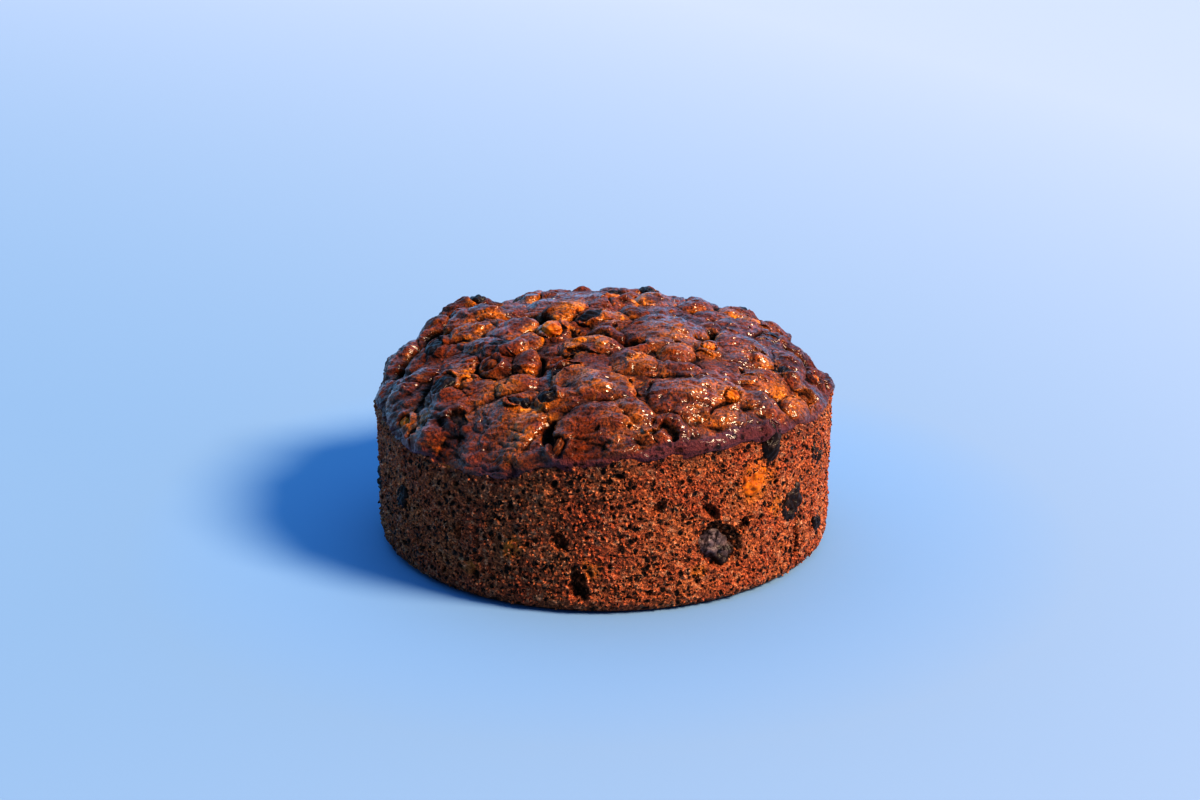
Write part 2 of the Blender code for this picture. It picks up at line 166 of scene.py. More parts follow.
table_finish, table_tree, table_shader = new_material("table_top")
place = add_node(table_tree, "ShaderNodeTexCoord").outputs["Object"]
rightward = add_node(table_tree, "ShaderNodeSeparateXYZ", {0: place}).outputs["X"]
away = add_node(table_tree, "ShaderNodeVectorMath", {0: place}, operation="LENGTH").outputs["Value"]
# Painted light: the table is painted paler away from the cake and towards the lamp at the right.
to_right = worked_out(table_tree, "MULTIPLY_ADD", rightward, PAINTED_LIGHT_RIGHT, PAINTED_LIGHT_START)
painted_light_share = worked_out(table_tree, "MULTIPLY_ADD", away, PAINTED_LIGHT_AWAY, to_right, use_clamp=True)
open_colour = mixed(table_tree, painted_light_share, TABLE_NEAR_PAINTED_DIM, TABLE_FAR_PAINTED_LIT)
# Painted shade round the cake's foot, bluer, to cancel the warm light that the cake throws back.
table_colour = mixed(table_tree, ranged(table_tree, away, *PAINTED_COOL_SHADE_REACH), open_colour, TABLE_PAINTED_COOL_SHADE)
table_tree.links.new(table_colour, table_shader.inputs["Base Color"])
table_shader.inputs["Roughness"].default_value = 0.9
table_shader.inputs["Specular IOR Level"].default_value = 0.1
bm = bmesh.new()
backward_shift = Matrix.Translation((0, TABLE_HALF / 2, 0))
bmesh.ops.create_grid(bm, x_segments=2, y_segments=2, size=TABLE_HALF, matrix=backward_shift)
table_top = link_mesh("table_top", bm, table_finish)

# Wall and base of the cake
# Baked crumb that took the shape of a plain round tin, full of pores, with a few larger holes and
# one crack at the right. It is turned in one, with its top edge in under the crust, and then cut
# into two sectors, as one mesh would be too large.
MM = 0.001
CAKE_RADIUS = 75 * MM
BASE_EDGE_RADIUS = 5 * MM
CROWN_HEIGHT = 69.5 * MM
MEAN_RIM_HEIGHT = 49 * MM
DOME_POWER = 2.3
SHOULDER_POWER = 1.25
# Height of the rim round the cake: (bearing in degrees, height in mm).
RIM_HEIGHTS = (
    (-90, 46.5),
    (-60, 44),
    (-28, 42),
    (-9, 50),
    (20, 52.5),
    (40, 53),
    (65, 49.5),
    (98, 47.5),
    (132, 52),
    (180, 54),
    (228, 54.5),
)
# Folds of the crust that stand out, as (x, y, length, width, turn in degrees, height), in mm.
MAIN_FOLDS = (
    (21, -8, 34, 30, 60, 4.5),
    (-3, -22, 22, 13, 0, 4.0),
    (11, -33, 20, 15, -20, 3.6),
    (-4, -46, 30, 21, -20, 4.6),
    (-1, -62, 28, 15, 0, 3.6),
    (29, -49, 34, 22, 25, 4.6),
    (-31, -56, 32, 28, 20, 5.0),
    (-32, -17, 24, 12, 8, 4.6),
    (-30, -2, 20, 15, 30, 4.0),
    (-43, 15, 32, 11, 8, 6.5),
    (-44, 4, 22, 16, 30, 4.0),
    (-13, 13, 24, 15, 65, 4.8),
    (2, 4, 15, 15, 0, 3.2),
    (46, -10, 24, 20, 80, 3.8),
    (52, -31, 20, 17, 20, 3.4),
    (-49, -42, 22, 15, -45, 3.8),
    (-63, -20, 20, 12, -75, 3.6),
    (-66, 12, 26, 9, 65, 4.2),
    (-50, 47, 18, 12, 40, 6.5),
    (46, 12, 26, 18, 60, 3.4),
)
FOLD_COUNT = 96
FOLD_LENGTH = (12 * MM, 20 * MM)
FOLD_WIDTH = (10 * MM, 14 * MM)
FOLD_HEIGHT = (1.6 * MM, 3.6 * MM)
FOLD_SHIFT = 3 * MM
FOLD_BLEND = 0.32 * MM
KNOB_COUNT = 330
KNOB_SIZE = (5 * MM, 8.5 * MM)
KNOB_HEIGHT = (0.3 * MM, 1.5 * MM)
KNOB_SHIFT = 2 * MM
WANDER = 2.4 * MM
WANDER_SPACING = 15 * MM
FOLD_FADE = 5 * MM
# Tears where the risen crust split, as (x, y, x, y, bend, width, depth), in mm.
TEARS = (
    (-25, 19, -12, -4, -3, 2.2, 5.0),
    (-12, -4, 15, -20, -5, 2.6, 4.6),
    (36, 3, 31, -13, 2, 1.8, 3.6),
    (-20, -22, -22, -38, 2, 1.5, 3.2),
    (-71, -8, -48, 31, -1, 3.2, 7.0),
    (-47, 28, -29, 50, 2, 3.2, 6.0),
    (-13, -55, -12, -71, -3, 2.4, 3.4),
    (14, -62, 22, -68, 1, 1.6, 2.6),
    (2, 40, 30, 46, 4, 2.2, 4.0),
    (-40, 34, -14, 44, -5, 2.4, 4.2),
)
# Raisins that sit low in the crust have hollows round them: (x, y, length, width, turn), in mm.
HOLLOWS = (
    (42.5, -28.5, 8, 6, 10),
    (-11, -37, 11, 5.5, 20),
    (-31.5, -17.5, 13, 7, -15),
    (-7.5, -25, 10, 5.5, -15),
    (-26.5, -49, 8.5, 5, -25),
    (-45, -46, 12, 7, -55),
    (-58.5, -41, 8, 6, -50),
    (15, -66.5, 7, 5, 0),
)
HOLLOW_DEPTH = 2.2 * MM
HOLLOW_REACH = 1.5
WALL_DENT = 0.45 * MM
WALL_DENT_SPACING = 22 * MM
# Holes in the wall, as (bearing, height, length, width, turn in degrees, depth), sizes in mm.
WALL_HOLES = (
    (28.8, 20, 18, 13.5, -50, 4.4),
    (26.5, 31.5, 8, 3.4, -62, 2.8),
    (35.5, 24.5, 7, 3, 55, 2.2),
    (-6, 10.5, 12, 5.5, -78, 4.6),
    (-10.5, 24.5, 6, 4.5, -30, 3.0),
    (55.6, 12, 21, 2.6, -84, 3.0),
    (13, 35, 5, 3, 40, 1.8),
    (-37, 22, 7, 3, 75, 1.8),
    (118, 18, 9, 5, 60, 3.2),
    (163, 33, 7, 5, -30, 3.0),
    (212, 15, 12, 6, -70, 3.8),
    (251, 30, 8, 4, 40, 2.6),
)
SEED = 4
TURN_STEPS = 1150
BASE_RINGS = 12
EDGE_RINGS = 12
WALL_RINGS = 124
# Pores and grains of the crumb, as (spacing, smallest, largest, share of the places that hold one).
PORES = (3.6 * MM, 0.4 * MM, 1.4 * MM, 0.38)
SMALL_PORES = (1.8 * MM, 0.3 * MM, 0.75 * MM, 0.6)
GRANULES = (1.25 * MM, 0.45 * MM, 0.75 * MM, 0.9)
LUMP_HEIGHT = 0.45 * MM
GRANULE_FOOT = 0.38 * MM
TUCK_UNDER_CRUST = 1.2 * MM
WALL_SECTORS = 2


def smooth(t):
    """An S-shaped step from 0 to 1."""
    t = np.clip(t, 0.0, 1.0)
    return t * t * (3.0 - 2.0 * t)


def hashed(i, j, k, salt):
    """A repeatable number from 0 to 1 for each lattice point."""
    n = (i * 73856093) ^ (j * 19349663) ^ (k * 83492791) ^ (salt * 2654435761)
    n = (n ^ (n >> 13)) * 1274126177 & 0x7FFFFFFF
    return ((n ^ (n >> 16)) & 0xFFFFF) / float(0xFFFFF)


def noise_at(points, spacing, salt):
    """Smooth noise from -1 to 1 at points, an (n, 3) array, with lumps of about this spacing."""
    scaled = points / spacing
    cell = np.floor(scaled).astype(np.int64)
    part = smooth(scaled - cell)
    total = np.zeros(len(points))
    for corner in range(8):
        step = np.array([corner & 1, corner >> 1 & 1, corner >> 2 & 1])
        weight = np.prod(np.where(step == 1, part, 1.0 - part), axis=1)
        total += weight * hashed(*(cell + step).T, salt)
    return 2.0 * total - 1.0


def depth_in_balls(points, cell, small, large, share, salt):
    """How deep places lie inside balls strewn through space, one at most in each cell."""
    scaled = points / cell
    home = np.floor(scaled).astype(np.int64)
    depth = np.zeros(len(points))
    for k in range(27):
        at = home + np.array([k % 3 - 1, k // 3 % 3 - 1, k // 9 - 1])
        centre = at + np.stack([hashed(*at.T, salt + i) for i in range(3)], 1)
        radius = small + (large - small) * hashed(*at.T, salt + 3) ** 2
        radius = np.where(hashed(*at.T, salt + 4) < share, radius, 0.0)
        away = np.linalg.norm(scaled - centre, axis=1) * cell
        depth = np.maximum(depth, np.sqrt(np.clip(radius**2 - away**2, 0.0, None)))
    return depth


def rim_height(bearing):
    """Height of the rim at a bearing in radians, smooth between the named heights."""
    marks = np.array([*RIM_HEIGHTS, (RIM_HEIGHTS[0][0] + 360, RIM_HEIGHTS[0][1])], float)
    turn = (np.degrees(bearing) - marks[0, 0]) % 360.0 + marks[0, 0]
    low = np.clip(np.searchsorted(marks[:, 0], turn, side="right") - 1, 0, len(marks) - 2)
    part = smooth((turn - marks[low, 0]) / (marks[low + 1, 0] - marks[low, 0]))
    return (marks[low, 1] + (marks[low + 1, 1] - marks[low, 1]) * part) * MM


def spiral(count, shift, rng):
    """Evenly spaced places over the crust, each moved at random by up to shift."""
    golden = math.pi * (3.0 - math.sqrt(5.0))
    for i in range(count):
        reach = CAKE_RADIUS * math.sqrt((i + 0.5) / count)
        yield (
            reach * math.cos(i * golden) + rng.uniform(-shift, shift),
            reach * math.sin(i * golden) + rng.uniform(-shift, shift),
        )


def crust_folds():
    """Every fold as a row (x, y, half length, half width, turn, height), named ones first."""
    rng = random.Random(SEED)
    folds = [
        (x * MM, y * MM, a * MM / 2, b * MM / 2, math.radians(turn), h * MM)
        for x, y, a, b, turn, h in MAIN_FOLDS
    ]
    named = list(folds)
    for x, y in spiral(FOLD_COUNT, FOLD_SHIFT, rng):
        half_length = rng.uniform(*FOLD_LENGTH) / 2
        half_width = rng.uniform(*FOLD_WIDTH) / 2
        turn = rng.uniform(0.0, math.pi)
        height = rng.uniform(*FOLD_HEIGHT)
        covered = any(math.hypot(x - f[0], y - f[1]) < 0.75 * f[3] for f in named)
        if not covered:
            folds.append((x, y, half_length, half_width, turn, height))
    return np.array(folds)


def crust_knobs():
    """The small knobs, as rows like those of the folds."""
    rng = random.Random(SEED + 1)
    rows = []
    for x, y in spiral(KNOB_COUNT, KNOB_SHIFT, rng):
        size = rng.uniform(*KNOB_SIZE) / 2
        width = size * rng.uniform(0.65, 1.0)
        turn = rng.uniform(0, math.pi)
        rows.append((x, y, size, width, turn, rng.uniform(*KNOB_HEIGHT)))
    return np.array(rows)


def oval_distance(x, y, row):
    """Distance from a row's centre, counted in its own half length and half width."""
    across, along = x - row[0], y - row[1]
    c, s = math.cos(row[4]), math.sin(row[4])
    return np.hypot((across * c + along * s) / row[2], (along * c - across * s) / row[3])


def rounded_tops(x, y, rows):
    """The height of each row's rounded top at each place."""
    for row in rows:
        yield row[5] * np.clip(1.0 - oval_distance(x, y, row) ** 2, 0.0, 1.0) ** 0.8


def blended_highest(x, y, rows):
    """The highest of the rows' rounded tops at each place, with soft valleys between them."""
    total = np.ones_like(x)
    for top in rounded_tops(x, y, rows):
        total += np.expm1(top / FOLD_BLEND)
    return FOLD_BLEND * np.log(total)


def tear_depth(x, y):
    """How far the tears cut into the crust: a bent line, deepest along its middle."""
    depth = np.zeros_like(x)
    for row in TEARS:
        x0, y0, x1, y1, bend, width, deep = (value * MM for value in row)
        length = math.hypot(x1 - x0, y1 - y0)
        ux, uy = (x1 - x0) / length, (y1 - y0) / length
        along = ((x - x0) * ux + (y - y0) * uy) / length
        bowed = bend * 4.0 * along * (1.0 - along)
        across = (y - y0) * ux - (x - x0) * uy - bowed
        ends = smooth(along / 0.2) * smooth((1.0 - along) / 0.2)
        depth = np.maximum(depth, deep * ends * np.exp(-((across / width) ** 2)))
    return depth


def hollow_depth(x, y):
    """The hollows in which the low-lying raisins of the crust sit."""
    depth = np.zeros_like(x)
    for hx, hy, length, width, turn in HOLLOWS:
        row = (hx * MM, hy * MM, length * MM / 2, width * MM / 2, math.radians(turn))
        reach = oval_distance(x, y, row) / HOLLOW_REACH
        depth = np.maximum(depth, HOLLOW_DEPTH * np.clip(1.0 - reach**2, 0.0, 1.0))
    return depth


def wandered(x, y):
    """Places shifted a little, so that the outlines of folds and tears wander."""
    flat = np.stack([x, y, np.zeros_like(x)], 1)
    for values, salt in ((x, 11), (y, 13)):
        broad = noise_at(flat, WANDER_SPACING, salt)
        yield values + WANDER * (broad + 0.3 * noise_at(flat, WANDER_SPACING / 3, salt + 1))


def crust_relief(x, y):
    """What folds, knobs, tears and hollows add to the smooth dome."""
    wx, wy = wandered(x, y)
    raised = blended_highest(wx, wy, crust_folds()) + blended_highest(wx, wy, crust_knobs())
    return raised - tear_depth(wx, wy) - hollow_depth(x, y)


def tin_points(bearing, height):
    """Places on the plain tin wall."""
    return np.stack([np.sin(bearing) * CAKE_RADIUS, np.cos(bearing) * CAKE_RADIUS, height], 1)


def hole_depth(bearing, height):
    """How deep the larger holes of the wall are."""
    depth = np.zeros_like(height)
    ragged = 0.9 * MM * noise_at(tin_points(bearing, height), 2.4 * MM, 22)
    for at, z, length, width, turn, deep in WALL_HOLES:
        offset = (np.degrees(bearing) - at + 180.0) % 360.0 - 180.0
        row = (0.0, z * MM, length * MM / 2, width * MM / 2, math.radians(turn))
        reach = oval_distance(np.radians(offset) * CAKE_RADIUS + ragged, height + ragged, row)
        hole = deep * MM * np.clip(1.0 - reach**2, 0.0, 1.0) ** 0.6
        depth += np.where(np.abs(offset) < 30.0, hole, 0.0)
    return depth


def wall_relief(bearing, height):
    """How far the wall stands in or out from the tin's radius."""
    dents = WALL_DENT * noise_at(tin_points(bearing, height), WALL_DENT_SPACING, 21)
    return dents - hole_depth(bearing, height)


def cake_surface(reach, level, bearing):
    """The cake's surface at a plain reach and level: 0 at the base, 1 at the rim and 2 at the crown."""
    rim = rim_height(bearing)
    foot = BASE_EDGE_RADIUS
    on_wall = np.where(level <= foot, level, foot + (rim - foot) * (level - foot) / (1.0 - foot))
    height = np.where(level > 1.0, rim + (CROWN_HEIGHT - rim) * (level - 1.0), on_wall)
    x = reach * np.sin(bearing)
    y = -reach * np.cos(bearing)
    share = np.clip(reach / CAKE_RADIUS, 0.0, 1.0)
    crust = smooth((height - rim + FOLD_FADE) / FOLD_FADE) * (1.0 - 0.55 * share**8)
    lift = crust_relief(x, y) * np.where(level > foot, crust, 0.0)
    lean = 0.8 * share**5
    out = lift * lean / np.hypot(1.0, lean)
    wall = smooth((level - foot * 0.5) / (foot * 0.5)) * smooth((share - 0.97) / 0.03)
    out += wall * wall_relief(bearing, height) * smooth((rim - height) / FOLD_FADE + 0.4)
    height = height + lift / np.hypot(1.0, lean)
    reach = reach + out
    return np.stack([reach * np.sin(bearing), -reach * np.cos(bearing), height], 1)


def read_points(mesh, what="co"):
    """The mesh's points, or their normals, as an (n, 3) array."""
    values = np.empty(len(mesh.vertices) * 3)
    mesh.vertices.foreach_get(what, values)
    return values.reshape(-1, 3)


def write_points(mesh, points):
    """Puts moved points back into the mesh."""
    mesh.vertices.foreach_set("co", points.ravel())
    mesh.update()


def write_mask(mesh, name, values):
    """Stores a value from 0 to 1 at each point, for the material to read."""
    mask = mesh.attributes.new(name, "FLOAT", "POINT")
    mask.data.foreach_set("value", np.clip(values, 0.0, 1.0).astype(np.float32))


def in_sectors(whole, count):
    """Cuts a finished piece into sectors round the cake. Each keeps the normals of the whole."""
    normals = whole.data.attributes.new("kept_normal", "FLOAT_VECTOR", "POINT")
    normals.data.foreach_set("vector", read_points(whole.data, "normal").ravel())
    middles = np.empty(len(whole.data.polygons) * 3)
    whole.data.polygons.foreach_get("center", middles)
    middles = middles.reshape(-1, 3)
    turned_by = np.arctan2(middles[:, 0], -middles[:, 1]) / math.tau + 0.25
    sector_of = np.floor(turned_by % 1.0 * count)
    sectors = []
    for number in range(count):
        bm = bmesh.new()
        bm.from_mesh(whole.data)
        bm.faces.ensure_lookup_table()
        others = [bm.faces[i] for i in np.flatnonzero(sector_of != number)]
        bmesh.ops.delete(bm, geom=others, context="FACES")
        sector = link_mesh(f"{whole.name}_{number + 1}", bm, whole.data.materials[0])
        kept = sector.data.attributes["kept_normal"]
        values = np.empty(len(kept.data) * 3)
        kept.data.foreach_get("vector", values)
        sector.data.attributes.remove(kept)
        sector.data.normals_split_custom_set_from_vertices(values.reshape(-1, 3).tolist())
        sectors.append(sector)
    bpy.data.meshes.remove(whole.data)
    return sectors


def wall_outline():
    """Half of the wall's and base's section, as (reach, level)."""
    for i in range(BASE_RINGS):
        yield (CAKE_RADIUS - BASE_EDGE_RADIUS) * i / BASE_RINGS, 0.0
    for i in range(EDGE_RINGS + 1):
        angle = math.pi / 2 * i / EDGE_RINGS
        reach = CAKE_RADIUS - BASE_EDGE_RADIUS * (1.0 - math.sin(angle))
        yield reach, BASE_EDGE_RADIUS * (1.0 - math.cos(angle))
    for i in range(1, WALL_RINGS + 1):
        yield CAKE_RADIUS, BASE_EDGE_RADIUS + (1.0 - BASE_EDGE_RADIUS) * i / WALL_RINGS


# Places where candied peel just below the wall tints the crumb, as (bearing, height, radius), in mm.
TINTED_PLACES = (
    (40, 37, 9),
    (46, 27, 4),
    (23, 13, 3),
    (-22, 21, 4),
    (-33, 12, 3.5),
    (-3, 15, 3.5),
    (140, 26, 7),
    (200, 36, 6),
    (275, 20, 6),
)
CRUMB_DARK = (0.88, 0.200, 0.075, 1)
CRUMB_LIGHT = (1.0, 0.320, 0.115, 1)
CRUMB_DUST = (0.19, 0.040, 0.022, 1)
CRUMB_FLECK = (1.0, 0.48, 0.24, 1)
PEEL_TINT = (1.0, 0.30, 0.035, 1)
# Painted shade in the pores, the larger holes and the gaps between grains.
PORE_PAINTED_SHADE = (0.014, 0.004, 0.002, 1)
# Darker colour of the wall towards its rim, its base and in soft patches.
WALL_DARKENED = (0.040, 0.013, 0.010, 1)


def cloudy(tree, place, scale, detail, roughness=0.5):
    """The socket of a soft noise through space, about 0.5."""
    return add_node(
        tree, "ShaderNodeTexNoise",
        {"Vector": place, "Scale": scale, "Detail": detail, "Roughness": roughness},
    ).outputs["Fac"]


def mask_socket(tree, name):
    """The socket of a mask that the mesh holds at its points."""
    return add_node(tree, "ShaderNodeAttribute", attribute_name=name).outputs["Fac"]


grain_group = bpy.data.node_groups.new("crumb_grain", "ShaderNodeTree")
grain_group.interface.new_socket("Size", in_out="INPUT", socket_type="NodeSocketFloat")
for name in ("Grain", "Specks", "Pores"):
    grain_group.interface.new_socket(name, in_out="OUTPUT", socket_type="NodeSocketFloat")
grain_in = add_node(grain_group, "NodeGroupInput")
place = add_node(grain_group, "ShaderNodeTexCoord").outputs["Object"]
fine = worked_out(grain_group, "DIVIDE", 1.0, grain_in.outputs["Size"])
stray = add_node(grain_group, "ShaderNodeTexNoise", {"Vector": place, "Scale": 480.0, "Detail": 2.0})
strayed = add_node(
    grain_group, "ShaderNodeVectorMath", {0: stray.outputs["Color"], 1: (2.2 * MM,) * 3, 2: place},
    operation="MULTIPLY_ADD",
).outputs[0]
dust = cloudy(grain_group, place, worked_out(grain_group, "MULTIPLY", fine, 1.6), 3.0, 0.65)
pore_layers = []
for finer, often, reach in ((1.0, 0.55, 0.34), (0.52, 0.62, 0.36)):
    scale = worked_out(grain_group, "MULTIPLY", fine, finer)
    cells = add_node(grain_group, "ShaderNodeTexVoronoi", {"Vector": strayed, "Scale": scale})
    pick = add_node(grain_group, "ShaderNodeSeparateColor", {0: cells.outputs["Color"]})
    if not pore_layers:
        specks = ranged(grain_group, pick.outputs[1], 0.78, 0.94)
    hollow = ranged(grain_group, cells.outputs["Distance"], reach + 0.06, reach - 0.12)
    taken = worked_out(grain_group, "LESS_THAN", pick.outputs[0], often)
    pore_layers.append(worked_out(grain_group, "MULTIPLY", hollow, taken))
add_node(
    grain_group, "NodeGroupOutput",
    {
        "Grain": ranged(grain_group, dust, 0.32, 0.60),
        "Specks": specks,
        "Pores": worked_out(grain_group, "MAXIMUM", *pore_layers),
    },
)

crumb_finish, tree, shader = new_material("crumb")
place = add_node(tree, "ShaderNodeTexCoord").outputs["Object"]
grain = add_node(tree, "ShaderNodeGroup", node_tree=grain_group)
grain.inputs["Size"].default_value = 1.35 * MM
baked = ranged(tree, cloudy(tree, place, 70.0, 3.0), 0.35, 0.68)
body = mixed(tree, baked, CRUMB_DARK, CRUMB_LIGHT)
toned = mixed(tree, grain.outputs["Grain"], CRUMB_DUST, body)
bright = worked_out(tree, "MULTIPLY", grain.outputs["Grain"], grain.outputs["Specks"])
flecked = mixed(tree, bright, toned, CRUMB_FLECK)
tinted = mixed(tree, mask_socket(tree, "tint"), flecked, PEEL_TINT)
# Painted shade: pores and holes are darkened where shade falls in them.
deep = worked_out(tree, "MAXIMUM", mask_socket(tree, "pore_shade"), grain.outputs["Pores"])
pore_shaded = mixed(tree, deep, tinted, PORE_PAINTED_SHADE)
darkened_wall = mixed(tree, mask_socket(tree, "wall_darkening"), pore_shaded, WALL_DARKENED)
tree.links.new(darkened_wall, shader.inputs["Base Color"])
shader.inputs["Roughness"].default_value = 0.5
shader.inputs["Specular IOR Level"].default_value = 0.25
tree.links.new(bright, shader.inputs["Coat Weight"])
shader.inputs["Coat Roughness"].default_value = 0.22
shader.inputs["Coat Tint"].default_value = (1.0, 0.86, 0.80, 1.0)
raised = worked_out(tree, "MULTIPLY_ADD", grain.outputs["Pores"], -1.6, grain.outputs["Grain"])
bump = add_node(tree, "ShaderNodeBump", {"Strength": 1.0, "Distance": 0.6 * MM, "Height": raised})
tree.links.new(bump.outputs[0], shader.inputs["Normal"])
tree.links.new(bump.outputs[0], shader.inputs["Coat Normal"])

outline = np.array(list(wall_outline()))
bm = bmesh.new()
bmesh.ops.create_grid(bm, x_segments=TURN_STEPS, y_segments=len(outline) - 1, size=1.0)
for vert in bm.verts:
    reach, level = outline[round((vert.co.y + 1.0) / 2.0 * (len(outline) - 1))]
    vert.co = (reach * math.sin(vert.co.x * math.pi), -reach * math.cos(vert.co.x * math.pi), level)
bmesh.ops.remove_doubles(bm, verts=bm.verts, dist=1e-6)
bmesh.ops.recalc_face_normals(bm, faces=bm.faces)
wall = link_mesh("crumb_wall", bm, crumb_finish)
points = read_points(wall.data)
level = points[:, 2].copy()
bearing = np.arctan2(points[:, 0], -points[:, 1])
points = cake_surface(np.hypot(points[:, 0], points[:, 1]), level, bearing)
write_points(wall.data, points)
outward = read_points(wall.data, "normal")
if outward[np.argmax(points[:, 0]), 0] < 0.0:
    wall.data.flip_normals()
    outward = -outward
below_crust = smooth((1.0 - level) / 0.03)
strayed = points + 0.8 * MM * np.stack([noise_at(points, 1.9 * MM, salt) for salt in (54, 55, 56)], 1)
openness = 0.5 + 0.5 * noise_at(points, 13 * MM, 57)
pores = depth_in_balls(strayed, *PORES, 31) * (0.5 + 0.7 * openness)
small_pores = depth_in_balls(strayed, *SMALL_PORES, 41)
granules = depth_in_balls(strayed, *GRANULES, 45)
lumps = LUMP_HEIGHT * noise_at(points, 4.2 * MM, 51) + 0.95 * granules - GRANULE_FOOT
standing = smooth(points[:, 2] / (3 * MM))
dent = np.maximum(pores * 1.15, small_pores * 0.9)
holes = hole_depth(bearing, points[:, 2])
raised = (lumps * standing - dent) * below_crust - (1.0 - below_crust) * TUCK_UNDER_CRUST
points += outward * raised[:, None]
points[:, 2] = np.maximum(points[:, 2], 0.0)
write_points(wall.data, points)
# Painted shade: the gaps between grains, the pores and the larger holes are darkened.
gaps = 0.4 * smooth((0.3 * MM - granules) / (0.3 * MM))
painted_pore_shade = np.maximum(gaps, smooth(dent / (1.0 * MM))) + 0.4 * smooth(holes / (3 * MM))
write_mask(wall.data, "pore_shade", painted_pore_shade * below_crust)
tinted = np.zeros(len(points))
for at, z, radius in TINTED_PLACES:
    offset = (bearing - math.radians(at) + math.pi) % math.tau - math.pi
    away = np.hypot(offset * CAKE_RADIUS, points[:, 2] - z * MM)
    tinted = np.maximum(tinted, smooth(1.2 - away / (radius * MM) + 0.5 * noise_at(points, 3 * MM, 59)))
write_mask(wall.data, "tint", 0.75 * tinted)
# The wall is darker towards its rim, over its lowest few millimetres and in soft patches.
darker = 0.5 + 0.5 * noise_at(points, 9 * MM, 53)
near_rim = smooth((level - 0.86) / 0.14) * darker
near_base = smooth((5 * MM - points[:, 2]) / (5 * MM))
cloud = smooth(noise_at(points, 16 * MM, 58))
write_mask(wall.data, "wall_darkening", 0.8 * near_rim + 0.3 * near_base + 0.2 * cloud)
outward = read_points(wall.data, "normal")
for sector in in_sectors(wall, WALL_SECTORS):
    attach(sector, "root")
    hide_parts("cake")

# Crumbs on the wall
# Grains of crumb that stand proud of the wall and cling to it, a millimetre or so across.
GRAIN_COUNT = 9000
GRAIN_SIZE = (0.22 * MM, 0.58 * MM)
draw = np.random.default_rng(SEED + 10)
bm = bmesh.new()
bmesh.ops.create_icosphere(bm, subdivisions=1, radius=1.0)
one_grain = np.array([vert.co for vert in bm.verts])
one_grain_faces = np.array([[vert.index for vert in face.verts] for face in bm.faces])
bm.free()
free_spots = np.flatnonzero((points[:, 2] > 1.1 * MM) & (level < 0.985) & (dent < 0.25 * MM))
picks = draw.choice(free_spots, GRAIN_COUNT, replace=False)
sizes = draw.uniform(*GRAIN_SIZE, GRAIN_COUNT)
turns = np.linalg.qr(draw.normal(size=(GRAIN_COUNT, 3, 3)))[0]
squat = draw.uniform(0.65, 1.2, (GRAIN_COUNT, 1, 3))
knobbly = one_grain + draw.uniform(-0.16, 0.16, (GRAIN_COUNT, len(one_grain), 3))
shapes = knobbly * squat @ turns * sizes[:, None, None]
middles = points[picks] + outward[picks] * (sizes * draw.uniform(-0.45, 0.25, GRAIN_COUNT))[:, None]
spots = (shapes + middles[:, None, :]).reshape(-1, 3)
faces = (one_grain_faces + len(one_grain) * np.arange(GRAIN_COUNT)[:, None, None]).reshape(-1, 3)
grains = bpy.data.meshes.new("grains")
grains.from_pydata(spots, [], faces)
bm = bmesh.new()
bm.from_mesh(grains)
bmesh.ops.recalc_face_normals(bm, faces=bm.faces)
crumbs = link_mesh("clinging_crumbs", bm, crumb_finish)
bpy.data.meshes.remove(grains)
for name in ("pore_shade", "wall_darkening", "tint"):
    write_mask(crumbs.data, name, np.zeros(len(crumbs.data.vertices)))
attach(crumbs, "root")

# Crust
# The baked top, risen in folds and glazed with its own syrup. It is one skin from the crown over the
# shoulder, and its edge hangs a few millimetres down the wall. It is cut into four sectors, as one
# mesh would be too large.
CRUST_GRID = 560
CRUST_SECTORS = 4
EDGE_HANG = 3.2 * MM
# Pebbles and pocks of the skin, as (spacing, smallest, largest, share of the places that hold one).
PEBBLES = (1.3 * MM, 0.4 * MM, 0.75 * MM, 0.8)
POCKS = (5.5 * MM, 0.4 * MM, 1.2 * MM, 0.4)
CREASE_DEPTH = 1.6 * MM
WRINKLE_HEIGHT = 0.9 * MM
FINE_WRINKLE_HEIGHT = 0.55 * MM
RIDGE_HEIGHT = 0.35 * MM
SWELL_HEIGHT = 0.5 * MM
RIPPLE_HEIGHT = 0.45 * MM
# The fine skin keeps a quarter of what the knobs rise above or fall below their mean height.
KNOB_FLATTENING = 0.75
KNOB_MEAN = 0.6 * MM
# How far the crust's edge turns in towards the wall below, and how much thinner its last part is.
EDGE_TUCK = 1.3 * MM
EDGE_THINNING = 0.8 * MM
# The smooth band along the front edge: its inner edge as a share of the radius, how much further in it
# reaches at the right, and its two ends as bearings in degrees.
BAND_INNER = 0.978
BAND_WIDENING = 0.03
BAND_ENDS = (-16.0, 54.0)
CRUST_DARK = (0.075, 0.014, 0.005, 1)
CRUST_LIGHT = (0.30, 0.055, 0.010, 1)
# The amber of fruit under thin skin, also used for a painted glow on steep slopes.
CRUST_AMBER_AND_GLOW = (0.95, 0.270, 0.012, 1)
# Painted shade for the creases, valleys, pits and tears of the crust.
CREASE_PAINTED_SHADE = (0.010, 0.003, 0.002, 1)
# The edge band's own darker brown, with a painted purple sheen mixed into it.
EDGE_BROWN_AND_SHEEN = (0.155, 0.046, 0.054, 1)
# Painted shade in the pores along the crust's edge.
EDGE_PORE_SHADE = (0.012, 0.004, 0.003, 1)
